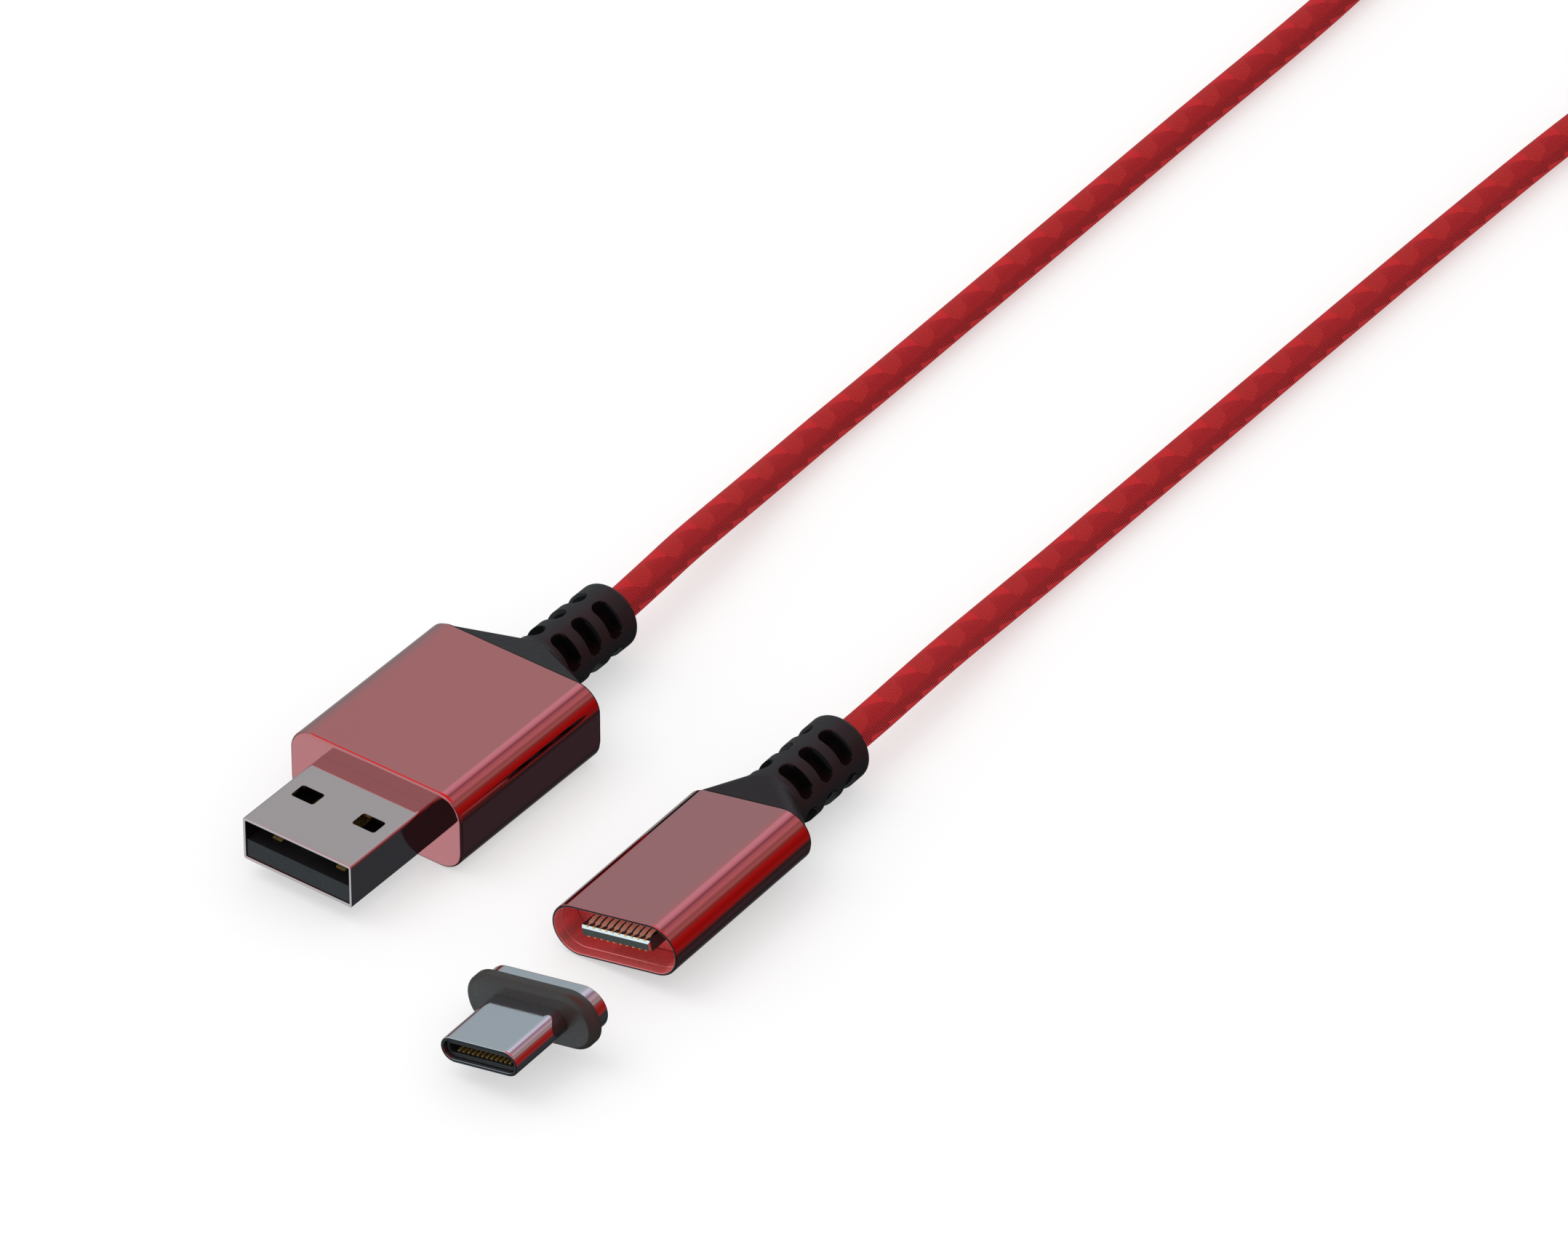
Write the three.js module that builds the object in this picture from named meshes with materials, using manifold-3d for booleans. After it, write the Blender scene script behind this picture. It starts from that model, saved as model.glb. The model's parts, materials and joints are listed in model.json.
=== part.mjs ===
// Magnetic charging cable: a USB-A plug, a braided cord that is coiled for storage, a magnetic
// connector, and the separate USB-C tip that docks in it.
// Millimetres, +Z up. The origin is the middle of the flat underside of the USB-A housing, which
// stands on the table at Z = 0. The plug's nose points along -Y and its cord leaves along +Y.
import * as THREE from "three";
import { mergeVertices } from "three/addons/utils/BufferGeometryUtils.js";
import Module from "manifold-3d";

const wasm = await Module();
wasm.setup();

// ---- Driving dimensions ----

const CORD_D = 3.3;
const FIT = 0.05; // gap between two pieces that sit in each other

// USB-A plug, along Y in its own frame, whose origin is on its axis
const USB = {
  axisZ: 4,
  nose: -21,
  housingFront: -10,
  housingBack: 10,
  housing: { w: 19, h: 8, r: 2.45 },
  wall: 0.8,
  shell: { w: 12, h: 4.5, r: 0.5, wall: 0.3, back: -2 },
  window: { w: 2.5, l: 1.8, fromNose: 4.95, x: 3.37 },
  insulatorTop: -0.05,
  contacts: [
    { x: -3.5, fromNose: 1.6 },
    { x: -1, fromNose: 2.6 },
    { x: 1, fromNose: 2.6 },
    { x: 3.5, fromNose: 1.6 },
  ],
  contact: { w: 1, h: 0.2, back: -1 },
};

// Magnetic connector, along Y in its own frame, whose origin is the middle of its mouth
const DOCK = {
  mouth: [28.4, -12.95, 3.63],
  yaw: THREE.MathUtils.degToRad(1.17),
  roll: THREE.MathUtils.degToRad(11.3),
  length: 20,
  sleeve: { w: 13.5, h: 5.2 },
  wall: 0.35,
  cavityDepth: 3.2,
  base: { back: 9 },
  tongue: { w: 7.4, h: 1.1, front: 0.2 },
  contact: { count: 10, pitch: 0.69, w: 0.4, h: 0.08, front: 0.45, back: 10.6 },
  magnet: { w: 1.7, h: 2.4, l: 4, x: 5.05, front: 3.6 },
  pcb: { w: 8.6, h: 1.1, front: 9.3, back: 12.8 },
};

// USB-C tip, in the magnetic connector's frame, in front of its mouth
const TIP = {
  nose: -19.6,
  shell: { w: 8.3, h: 2.56, wall: 0.35, back: -11.3 },
  insulator: { front: -19.2, back: -13 },
  slot: { w: 6.9, h: 0.9, back: -14 },
  pcb: { w: 6.8, h: 0.6, front: -12.8, back: -11.4 },
  collar: { w: 13.8, h: 5.6, chamfer: 0.45, front: -12.46, back: -11.1 },
  plate: { w: 12.6, h: 4.3, back: -9.3 },
  plateHole: { w: 8.5, h: 2.7 },
  socketSlot: { w: 7.8, h: 1.7 },
};

// Boot, crimp and wires, measured along Y from the back of the housing that holds them
const BOOT = {
  length: 14,
  taper: 3.7,
  r: 3.25,
  bore: 1.8,
  inset: 0.12,
  spigot: 3,
  slot: { rows: [4.75, 7.75, 10.75], w: 1.7, core: 2, arc: THREE.MathUtils.degToRad(70) },
};
const CRIMP = { r: 2.05, bore: 1.75, front: -5.8, back: -3.4 };
const CORD_START = -5.6;
const WIRE_R = 0.35;

// The cord from each end to the coil, in the object's frame. Beyond the boots it sinks to the
// table, where its middle is half a diameter up, and its last points climb onto the raised coil.
const USB_ROUTE = [
  [0, 4.4, 4],
  [0, 14, 4],
  [0, 24, 4],
  [-0.35, 30, 3.97],
  [-0.95, 36, 3.72],
  [-1.55, 42, 3.2],
  [-2.2, 48, 2.55],
  [-2.8, 54, 2],
  [-3.2, 60, 1.72],
  [-3.4, 68, 1.65],
  [-3.7, 80, 1.65],
  [-4.25, 100, 1.65],
  [-4.8, 120, 1.65],
  [-5.45, 146, 1.65],
  [-6.6, 160, 1.65],
  [-8.4, 174, 1.8],
  [-10.4, 187, 2.2],
  [-11.7, 199.5, 2.45],
];
const DOCK_ROUTE = [
  [28.106, 1.447, 3.63],
  [27.9, 11.5, 3.63],
  [27.706, 21.04, 3.63],
  [27.6, 26, 3.6],
  [27.25, 32, 3.4],
  [26.75, 38, 2.95],
  [26.3, 44, 2.4],
  [25.95, 50, 1.95],
  [25.75, 56, 1.7],
  [25.6, 64, 1.65],
  [25.45, 78, 1.65],
  [25.2, 100, 1.65],
  [25.05, 122, 1.65],
  [25.2, 140, 1.65],
  [26.3, 156, 2.1],
  [28.3, 170, 3.1],
  [30.2, 184, 4.4],
  [31.4, 198, 5.5],
];

// Coil: two layers of turns, which a tie holds a little above the table
const COIL = { x: 9.8, y: 214, inner: 11.1, outer: 23.9, bottom: 0.85, top: 7.65 };
const TIE = { w: 6, thick: 0.7, clearance: 0.1 };

// ---- Shapes ----

// Rounded rectangle in the XY plane. Its flats are exact; arc is the number of steps in a corner.
function roundedRect(w, h, r, arc = 6) {
  const x = w / 2 - r;
  const y = h / 2 - r;
  const points = [];
  const corners = [[x, y, 0], [-x, y, 1], [-x, -y, 2], [x, -y, 3]];
  for (const [cx, cy, quarter] of corners) {
    for (let i = 0; i <= arc; i++) {
      const a = ((quarter + i / arc) * Math.PI) / 2;
      points.push(new THREE.Vector2(cx + r * Math.cos(a), cy + r * Math.sin(a)));
    }
  }
  return new THREE.Shape(points);
}

const stadium = (w, h, arc = 8) => roundedRect(w, h, h / 2 - 0.01, arc);

// The shape drawn in the XZ plane and extended along Y from front to back.
function prism(shape, front, back) {
  const geometry = new THREE.ExtrudeGeometry(shape, {
    depth: back - front,
    bevelEnabled: false,
    curveSegments: 8,
  });
  return geometry.rotateX(Math.PI / 2).translate(0, back, 0);
}

const block = (w, h, front, back, x = 0, z = 0) =>
  new THREE.BoxGeometry(w, back - front, h).translate(x, (front + back) / 2, z);

function cylinderY(r, front, back, sides = 24) {
  return new THREE.CylinderGeometry(r, r, back - front, sides).translate(0, (front + back) / 2, 0);
}

function closed(geometry) {
  const bare = geometry.index ? geometry.toNonIndexed() : geometry.clone();
  bare.deleteAttribute("normal");
  bare.deleteAttribute("uv");
  const merged = mergeVertices(bare, 1e-4);
  return new wasm.Manifold(
    new wasm.Mesh({
      numProp: 3,
      vertProperties: merged.attributes.position.array,
      triVerts: new Uint32Array(merged.index.array),
    }),
  );
}

function geometryOf(solid) {
  const mesh = solid.getMesh();
  const positions = new Float32Array(mesh.numVert * 3);
  for (let i = 0; i < mesh.numVert; i++) {
    positions.set(mesh.vertProperties.subarray(i * mesh.numProp, i * mesh.numProp + 3), i * 3);
  }
  const geometry = new THREE.BufferGeometry();
  geometry.setAttribute("position", new THREE.BufferAttribute(positions, 3));
  geometry.setIndex(new THREE.BufferAttribute(new Uint32Array(mesh.triVerts), 1));
  geometry.computeVertexNormals();
  return geometry;
}

const cut = (geometry, ...tools) =>
  geometryOf(tools.reduce((solid, tool) => solid.subtract(closed(tool)), closed(geometry)));

// A closed skin over rings that all have the same number of points.
function skin(rings) {
  const n = rings[0].length;
  const positions = rings.flat(2);
  const first = rings.length * n;
  for (const ring of [rings[0], rings[rings.length - 1]]) {
    positions.push(0, ring[0][1], 0);
  }
  const index = [];
  for (let k = 0; k < rings.length - 1; k++) {
    for (let i = 0; i < n; i++) {
      const j = (i + 1) % n;
      const a = k * n + i;
      const b = k * n + j;
      index.push(a, a + n, b, b, a + n, b + n);
    }
  }
  const last = (rings.length - 1) * n;
  for (let i = 0; i < n; i++) {
    const j = (i + 1) % n;
    index.push(first, i, j, first + 1, last + j, last + i);
  }
  const geometry = new THREE.BufferGeometry();
  geometry.setAttribute("position", new THREE.Float32BufferAttribute(positions, 3));
  geometry.setIndex(index);
  return geometry;
}

// One ring of a boot: a rounded rectangle whose corners have radius r, as n points.
function bootRing(y, halfW, halfH, r, n = 40) {
  const ring = [];
  for (let i = 0; i < n; i++) {
    const a = ((i + 0.5) / n) * Math.PI * 2;
    const x = Math.sign(Math.cos(a)) * (halfW - r) + r * Math.cos(a);
    const z = Math.sign(Math.sin(a)) * (halfH - r) + r * Math.sin(a);
    ring.push([x, y, z]);
  }
  return ring;
}

function tube(points, radius, sides, steps) {
  const section = [];
  for (let i = 0; i < sides; i++) {
    const a = (i / sides) * Math.PI * 2;
    section.push(new THREE.Vector2(radius * Math.cos(a), radius * Math.sin(a)));
  }
  const path = new THREE.CatmullRomCurve3(points.map((p) => new THREE.Vector3(...p)));
  return new THREE.ExtrudeGeometry(new THREE.Shape(section), {
    steps,
    extrudePath: path,
    bevelEnabled: false,
  });
}

// ---- Materials ----

const finish = (color, roughness, metalness) =>
  new THREE.MeshStandardMaterial({ color, roughness, metalness });
const FINISH = {
  redMetal: finish(0xb32a30, 0.18, 1),
  steel: finish(0x9b9694, 0.3, 1),
  darkPlastic: finish(0x1c1b1e, 0.5, 0),
  rubber: finish(0x1e1e22, 0.6, 0),
  gold: finish(0xd9a441, 0.25, 1),
  copper: finish(0xc4845a, 0.3, 1),
  magnet: finish(0x8d8f92, 0.35, 1),
  board: finish(0x1f4a2c, 0.5, 0),
  braid: finish(0xb8242b, 0.8, 0),
  wire: finish(0xb0b0b0, 0.5, 0),
};

function piece(parent, name, geometry, material) {
  const mesh = new THREE.Mesh(geometry, material);
  mesh.name = name;
  parent.add(mesh);
}

// ---- Pieces that both ends share ----

// How far the boot has turned from the housing's outline, at 0, into its sleeve, at 1: a straight
// slope with a soft end.
function tapered(t) {
  const soft = 0.22;
  const rest = 1 - t;
  return rest > soft ? t / (1 - soft / 2) : 1 - rest ** 2 / (2 * soft * (1 - soft / 2));
}

// Boot: it lofts from the housing's outline to a round sleeve with three rows of four slots, and
// its spigot fills the back of the housing.
function boot(housing, cavity, back) {
  const halfW = housing.w / 2 - BOOT.inset;
  const halfH = housing.h / 2 - BOOT.inset;
  const corner = Math.min(housing.r, halfH - 0.01);
  const steps = 6;
  const rings = [];
  for (let k = 0; k <= steps; k++) {
    const t = k / steps;
    const mix = (a, b) => a + (b - a) * tapered(t);
    rings.push(
      bootRing(back + t * BOOT.taper, mix(halfW, BOOT.r), mix(halfH, BOOT.r), mix(corner, BOOT.r - 0.02)),
    );
  }
  const end = back + BOOT.length;
  rings.push(bootRing(end - 0.4, BOOT.r, BOOT.r, BOOT.r - 0.02));
  rings.push(bootRing(end, BOOT.r - 0.4, BOOT.r - 0.4, BOOT.r - 0.42));
  const spigot = roundedRect(
    cavity.w - 2 * FIT,
    cavity.h - 2 * FIT,
    cavity.r - FIT,
  );
  let solid = closed(skin(rings)).add(closed(prism(spigot, back - BOOT.spigot, back + 0.1)));
  for (const row of BOOT.slot.rows) {
    for (let side = 0; side < 4; side++) {
      solid = solid.subtract(closed(slotCutter(back + row, ((side + 0.5) * Math.PI) / 2)));
    }
  }
  return geometryOf(solid.subtract(closed(cylinderY(BOOT.bore, back - 4, end + 1))));
}

// A wedge-shaped sector that cuts one slot of a boot, from its core out through its surface.
function slotCutter(y, middle) {
  const { w, core, arc } = BOOT.slot;
  const outer = BOOT.r + 3;
  const shape = new THREE.Shape();
  shape.absarc(0, 0, outer, middle - arc / 2, middle + arc / 2, false);
  shape.absarc(0, 0, core, middle + arc / 2, middle - arc / 2, true);
  shape.closePath();
  return prism(shape, y - w / 2, y + w / 2);
}

function crimp(back) {
  return cut(
    cylinderY(CRIMP.r, back + CRIMP.front, back + CRIMP.back, 20),
    cylinderY(CRIMP.bore, back + CRIMP.front - 1, back + CRIMP.back + 1, 20),
  );
}

// Four wires that run from their solder tails to the cut end of the cord, at a corner each.
function wires(parent, prefix, tails, back) {
  const end = back + CORD_START - 0.15;
  tails.forEach(([x, y, z], i) => {
    const cx = Math.sign(x) * 0.5;
    const cz = i === 0 || i === tails.length - 1 ? 0.45 : -0.45;
    const points = [
      [x, y, z],
      [x, y + 0.9, z],
      [cx, end - 0.6, cz],
      [cx, end, cz],
    ];
    piece(parent, `${prefix}_wire_${i + 1}`, tube(points, WIRE_R, 6, 8), FINISH.wire);
  });
}

// ---- USB-A plug ----

function usbPlug() {
  const group = new THREE.Group();
  group.position.z = USB.axisZ;
  const { housing, shell, wall, housingFront: front, housingBack: back } = USB;
  const cavity = { w: housing.w - 2 * wall, h: housing.h - 2 * wall, r: housing.r - wall };
  const shellHole = roundedRect(shell.w + 2 * FIT, shell.h + 2 * FIT, shell.r);

  piece(
    group,
    "usb_housing",
    cut(
      prism(roundedRect(housing.w, housing.h, housing.r), front, back),
      prism(roundedRect(cavity.w, cavity.h, cavity.r), front + 1, back + 1),
      prism(shellHole, front - 1, front + 2),
    ),
    FINISH.redMetal,
  );

  const inner = { w: shell.w - 2 * shell.wall, h: shell.h - 2 * shell.wall };
  const windows = [-USB.window.x, USB.window.x].map((x) =>
    block(
      USB.window.w,
      shell.h + 2,
      USB.nose + USB.window.fromNose,
      USB.nose + USB.window.fromNose + USB.window.l,
      x,
    ),
  );
  piece(
    group,
    "usb_shell",
    cut(
      prism(roundedRect(shell.w, shell.h, shell.r), USB.nose, shell.back),
      prism(roundedRect(inner.w, inner.h, shell.r - 0.2), USB.nose - 1, shell.back + 1),
      ...windows,
    ),
    FINISH.steel,
  );

  // Insulator: the lower half of the shell's hollow
  piece(
    group,
    "usb_insulator",
    cut(
      prism(
        roundedRect(inner.w - 2 * FIT, inner.h - 2 * FIT, shell.r - 0.2),
        USB.nose + 0.35,
        shell.back - 0.2,
      ),
      block(shell.w, inner.h, USB.nose, 0, 0, USB.insulatorTop + inner.h / 2),
    ),
    FINISH.darkPlastic,
  );

  USB.contacts.forEach(({ x, fromNose }, i) => {
    const { w, h, back: tail } = USB.contact;
    const z = USB.insulatorTop + 0.03 + h / 2;
    piece(group, `usb_contact_${i + 1}`, block(w, h, USB.nose + fromNose, tail, x, z), FINISH.gold);
  });

  // Inner mould: it grips the shell's tail and leaves a channel for the wires
  piece(
    group,
    "usb_inner_mould",
    cut(
      prism(
        roundedRect(cavity.w - 4 * FIT, cavity.h - 4 * FIT, cavity.r - 2 * FIT),
        front + 1.1,
        back + CRIMP.front - 0.6,
      ),
      prism(shellHole, front, shell.back + 0.1),
      block(9.6, 3.7, shell.back - 1, back),
    ),
    FINISH.darkPlastic,
  );

  const tailZ = USB.insulatorTop + 0.03 + USB.contact.h + WIRE_R + 0.05;
  wires(group, "usb", USB.contacts.map(({ x }) => [x * 0.95, shell.back + 0.2, tailZ]), back);
  piece(group, "usb_crimp", crimp(back), FINISH.steel);
  piece(group, "usb_boot", boot(housing, cavity, back), FINISH.rubber);
  return group;
}

// ---- Magnetic connector ----

function dockPlug() {
  const group = new THREE.Group();
  const { sleeve, wall, length, tongue, contact, magnet, pcb, cavityDepth } = DOCK;
  const cavity = { w: sleeve.w - 2 * wall, h: sleeve.h - 2 * wall };

  piece(
    group,
    "dock_housing",
    cut(
      prism(stadium(sleeve.w, sleeve.h), 0, length),
      prism(stadium(cavity.w, cavity.h), -1, length + 1),
    ),
    FINISH.redMetal,
  );

  // Base: it closes the cavity, holds the tongue, and has a pocket for each magnet at its back
  const contactTop = tongue.h / 2 + 0.02 + contact.h;
  const pockets = [-magnet.x, magnet.x].map((x) =>
    block(magnet.w + 2 * FIT, magnet.h + 2 * FIT, magnet.front - FIT, DOCK.base.back + 1, x),
  );
  piece(
    group,
    "dock_base",
    cut(
      prism(stadium(cavity.w - 2 * FIT, cavity.h - 2 * FIT), cavityDepth, DOCK.base.back),
      block(tongue.w + 2 * FIT, 2 * (contactTop + FIT), cavityDepth - 1, DOCK.base.back + 1),
      ...pockets,
    ),
    FINISH.darkPlastic,
  );
  piece(
    group,
    "dock_tongue",
    block(tongue.w, tongue.h, tongue.front, DOCK.base.back),
    FINISH.darkPlastic,
  );

  for (const [row, side] of [["top", 1], ["bottom", -1]]) {
    for (let i = 0; i < contact.count; i++) {
      const x = (i - (contact.count - 1) / 2) * contact.pitch;
      const z = side * (contactTop - contact.h / 2);
      piece(
        group,
        `dock_contact_${row}_${i + 1}`,
        block(contact.w, contact.h, contact.front, contact.back, x, z),
        FINISH.copper,
      );
    }
  }

  for (const [name, side] of [["left", -1], ["right", 1]]) {
    piece(
      group,
      `dock_magnet_${name}`,
      block(magnet.w, magnet.h, magnet.front, magnet.front + magnet.l, side * magnet.x),
      FINISH.magnet,
    );
  }

  piece(group, "dock_pcb", block(pcb.w, pcb.h, pcb.front, pcb.back), FINISH.board);
  const tailZ = pcb.h / 2 + WIRE_R + 0.12;
  const tails = [[-2.4, 1], [-0.9, -1], [0.9, -1], [2.4, 1]].map(([x, side]) => [
    x,
    pcb.back - 0.8,
    side * tailZ,
  ]);
  wires(group, "dock", tails, length);
  piece(group, "dock_crimp", crimp(length), FINISH.steel);
  const stadiumSleeve = { w: sleeve.w, h: sleeve.h, r: sleeve.h / 2 - 0.01 };
  const stadiumCavity = { w: cavity.w, h: cavity.h, r: cavity.h / 2 - 0.01 };
  piece(group, "dock_boot", boot(stadiumSleeve, stadiumCavity, length), FINISH.rubber);
  return group;
}

// ---- USB-C tip ----

function usbcTip() {
  const group = new THREE.Group();
  const { shell, slot, insulator, pcb, collar, plate, plateHole, socketSlot } = TIP;
  const inner = { w: shell.w - 2 * shell.wall, h: shell.h - 2 * shell.wall };
  const shellHole = stadium(shell.w + 2 * FIT, shell.h + 2 * FIT);

  piece(
    group,
    "tip_shell",
    cut(
      prism(stadium(shell.w, shell.h), TIP.nose, shell.back),
      prism(stadium(inner.w, inner.h), TIP.nose - 1, shell.back + 1),
    ),
    FINISH.steel,
  );
  piece(
    group,
    "tip_insulator",
    cut(
      prism(stadium(inner.w - 2 * FIT, inner.h - 2 * FIT), insulator.front, insulator.back),
      block(slot.w, slot.h, insulator.front - 1, slot.back),
    ),
    FINISH.darkPlastic,
  );
  piece(group, "tip_pcb", block(pcb.w, pcb.h, pcb.front, pcb.back), FINISH.board);

  const { w, h, chamfer, front, back } = collar;
  const arc = 6;
  const ringOf = (y, inset) =>
    roundedRect(w - 2 * inset, h - 2 * inset, h / 2 - inset - 0.01, arc)
      .getPoints()
      .slice(0, -1)
      .map((p) => [p.x, y, p.y]);
  const rings = [ringOf(front, chamfer), ringOf(front + chamfer, 0), ringOf(back, 0)];
  piece(
    group,
    "tip_collar",
    cut(skin(rings), prism(shellHole, front - 1, back + 1)),
    FINISH.darkPlastic,
  );

  const plateFront = back + 0.02;
  const socketHole = stadium(socketSlot.w, socketSlot.h, 5);
  piece(
    group,
    "tip_plate",
    cut(
      prism(stadium(plate.w, plate.h), plateFront, plate.back),
      prism(stadium(plateHole.w, plateHole.h), plateFront - 1, plate.back + 1),
    ),
    FINISH.steel,
  );
  piece(
    group,
    "tip_socket",
    cut(
      prism(stadium(plateHole.w - 2 * FIT, plateHole.h - 2 * FIT), plateFront, plate.back),
      prism(socketHole, plateFront - 1, plate.back + 1),
    ),
    FINISH.darkPlastic,
  );
  return group;
}

// ---- Cord ----

function cord() {
  const group = new THREE.Group();
  const radius = CORD_D / 2;
  piece(group, "cord_usb_run", tube(USB_ROUTE, radius, 8, 30), FINISH.braid);
  piece(group, "cord_dock_run", tube(DOCK_ROUTE, radius, 8, 30), FINISH.braid);

  const { inner, outer, bottom, top } = COIL;
  const profile = [[inner, bottom], [outer, bottom], [outer, top], [inner, top], [inner, bottom]];
  const ring = new THREE.LatheGeometry(profile.map(([r, z]) => new THREE.Vector2(r, z)), 48);
  piece(group, "cord_coil", ring.rotateX(Math.PI / 2).translate(COIL.x, COIL.y, 0), FINISH.braid);

  const half = TIE.w / 2;
  const near = Math.sqrt(inner ** 2 - half ** 2) - TIE.clearance;
  const far = outer + TIE.clearance;
  const low = bottom - TIE.clearance;
  const high = top + TIE.clearance;
  const loop = (extra, from, to) =>
    new THREE.BoxGeometry(to - from, far - near + 2 * extra, high - low + 2 * extra).translate(
      COIL.x + (from + to) / 2,
      COIL.y + (near + far) / 2,
      (low + high) / 2,
    );
  piece(
    group,
    "cord_tie",
    cut(loop(TIE.thick, -half, half), loop(0, -half - 1, half + 1)),
    FINISH.rubber,
  );
  return group;
}

// ---- Assembly ----

const dockRoll = new THREE.Group();
dockRoll.rotation.y = -DOCK.roll;
dockRoll.add(dockPlug(), usbcTip());

const dockEnd = new THREE.Group();
dockEnd.position.set(...DOCK.mouth);
dockEnd.rotation.z = DOCK.yaw;
dockEnd.add(dockRoll);

const cable = new THREE.Group();
cable.add(usbPlug(), dockEnd, cord());

export default cable;
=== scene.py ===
"""Magnetic charging cable: a USB-A plug, a braided cord put away in a coil, a magnetic connector
and its separate USB-C tip.

Pieces are modelled in millimetres in the frame of the end that they belong to, with Y along the
plug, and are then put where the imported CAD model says. Sizes follow the CAD model's. Each piece's
box is within 0.25 mm of its node's, but for two that are smaller: the tie's by up to 0.51 mm, and
the cord's by up to 0.95 mm, since the CAD model's coil is a plain ring.
"""

import json
import math

import bmesh
import bpy
import numpy as np
from mathutils import Matrix, Vector

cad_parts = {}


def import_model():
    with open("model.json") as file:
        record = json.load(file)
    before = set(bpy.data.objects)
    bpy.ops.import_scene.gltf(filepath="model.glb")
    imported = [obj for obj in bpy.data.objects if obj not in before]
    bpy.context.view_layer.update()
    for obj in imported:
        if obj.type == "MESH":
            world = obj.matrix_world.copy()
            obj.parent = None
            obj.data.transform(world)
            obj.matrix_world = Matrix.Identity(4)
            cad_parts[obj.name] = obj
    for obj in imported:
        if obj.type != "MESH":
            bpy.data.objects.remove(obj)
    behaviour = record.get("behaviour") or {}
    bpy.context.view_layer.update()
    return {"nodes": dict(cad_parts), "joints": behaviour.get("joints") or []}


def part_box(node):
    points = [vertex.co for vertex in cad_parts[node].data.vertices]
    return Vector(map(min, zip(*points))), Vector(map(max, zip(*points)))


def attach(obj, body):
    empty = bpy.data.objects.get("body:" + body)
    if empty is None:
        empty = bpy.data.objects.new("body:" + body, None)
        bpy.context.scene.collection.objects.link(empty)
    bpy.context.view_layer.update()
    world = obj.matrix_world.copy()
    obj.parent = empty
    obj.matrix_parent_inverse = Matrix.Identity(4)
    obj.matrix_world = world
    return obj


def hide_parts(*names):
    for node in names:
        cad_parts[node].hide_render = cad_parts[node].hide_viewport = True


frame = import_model()

MM = 0.001

# ---------------------------------------------------------------- sizes, in millimetres

# rim holds the radii of a mouth's outer and inner edges
USB_SHELL = {
    "w": 12.0, "h": 4.5, "r": 0.28, "wall": 0.3, "nose": -21.0, "back": -2.0, "rim": (0.09, 0.07),
}  # fmt: skip
USB_WINDOW = {"w": 2.5, "l": 1.8, "r": 0.28, "from_nose": 4.95, "x": 3.37}
USB_HOUSING = {
    "w": 19.0, "h": 8.0, "r": 2.45, "wall": 0.8, "front": -10.0, "back": 10.0,
    "front_wall": 1.0, "front_edge": 0.3, "back_edge": 0.1,
}  # fmt: skip
USB_INSULATOR = {"top": -0.05, "from_nose": 0.12, "from_back": 0.2}
USB_CHANNEL = {"w": 1.16, "h": 0.24, "ahead": 0.25}
USB_CONTACTS = [(-3.5, 1.6), (-1.0, 2.6), (1.0, 2.6), (3.5, 1.6)]  # x, and distance from the nose
USB_CONTACT = {"w": 1.0, "rise": 0.23, "thick": 0.14, "back": -1.0}
USB_CONTACT_DROOP = ((0.0, 0.18), (0.5, 0.12), (1.0, 0.0))  # distance from the tip, and how low
SMALL_BEVEL = 0.03

DOCK_ROLL = math.radians(11.3)
DOCK = {"w": 13.5, "h": 5.2, "wall": 0.35, "length": 20.0, "rim": (0.13, 0.1), "back_edge": 0.08}
DOCK_STEP = {"depth": 1.0, "height": 0.06}
TONGUE = {"w": 7.4, "h": 1.1, "front": 0.2, "back": 9.0, "chamfer": 0.22}
DOCK_CONTACT = {
    "count": 10, "pitch": 0.69, "w": 0.48, "neck": 0.2, "back": 10.6, "rise": 0.08, "bow": 0.16,
    "thick": 0.05,
}  # fmt: skip

TIP_SHELL = {
    "w": 8.3, "h": 2.56, "wall": 0.35, "nose": -19.6, "back": -11.3, "rim": (0.16, 0.06),
}  # fmt: skip
TIP_INSULATOR = {"front": -19.2, "back": -13.0, "slot_w": 6.9, "slot_h": 0.9, "slot_back": -14.0}
TIP_PINS = {"count": 12, "pitch": 0.5, "w": 0.26, "front": -18.9}
COLLAR = {"w": 13.8, "h": 5.6, "chamfer": 0.45, "ease": 0.08, "front": -12.46, "back": -11.1}
PLATE = {"w": 12.6, "h": 4.3, "front": -11.08, "back": -9.3, "edge": 0.2}
SOCKET = {"w": 8.4, "h": 2.6, "slot_w": 7.8, "slot_h": 1.7}
SOCKET_PINS = {"count": 10, "pitch": 0.69, "w": 0.4}

BOOT = {
    "length": 14.0, "taper": 3.7, "taper_soft": 0.22, "r": 3.25, "bore": 1.8, "inset": 0.12,
    "spigot": 3.0, "edge": 0.12, "end_fillet": 0.55, "mouth": 0.12,
}  # fmt: skip
BOOT_SLOT = {
    "rows": (4.9, 7.9, 10.9), "w": 1.7, "core": 2.0, "arc": math.radians(70), "flat": 0.04,
    "from": 3.0, "end_depth": 0.25, "rise_from": 0.62, "rise_over": 0.45, "lip": (0.05, 0.13),
}  # fmt: skip
BOOT_ROWS, BOOT_COLUMNS = 200, 320  # of points along a boot and round it
FIT = 0.05
HOLE_GAP = 0.01  # between a shell and the hole it comes out of, in all

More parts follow.
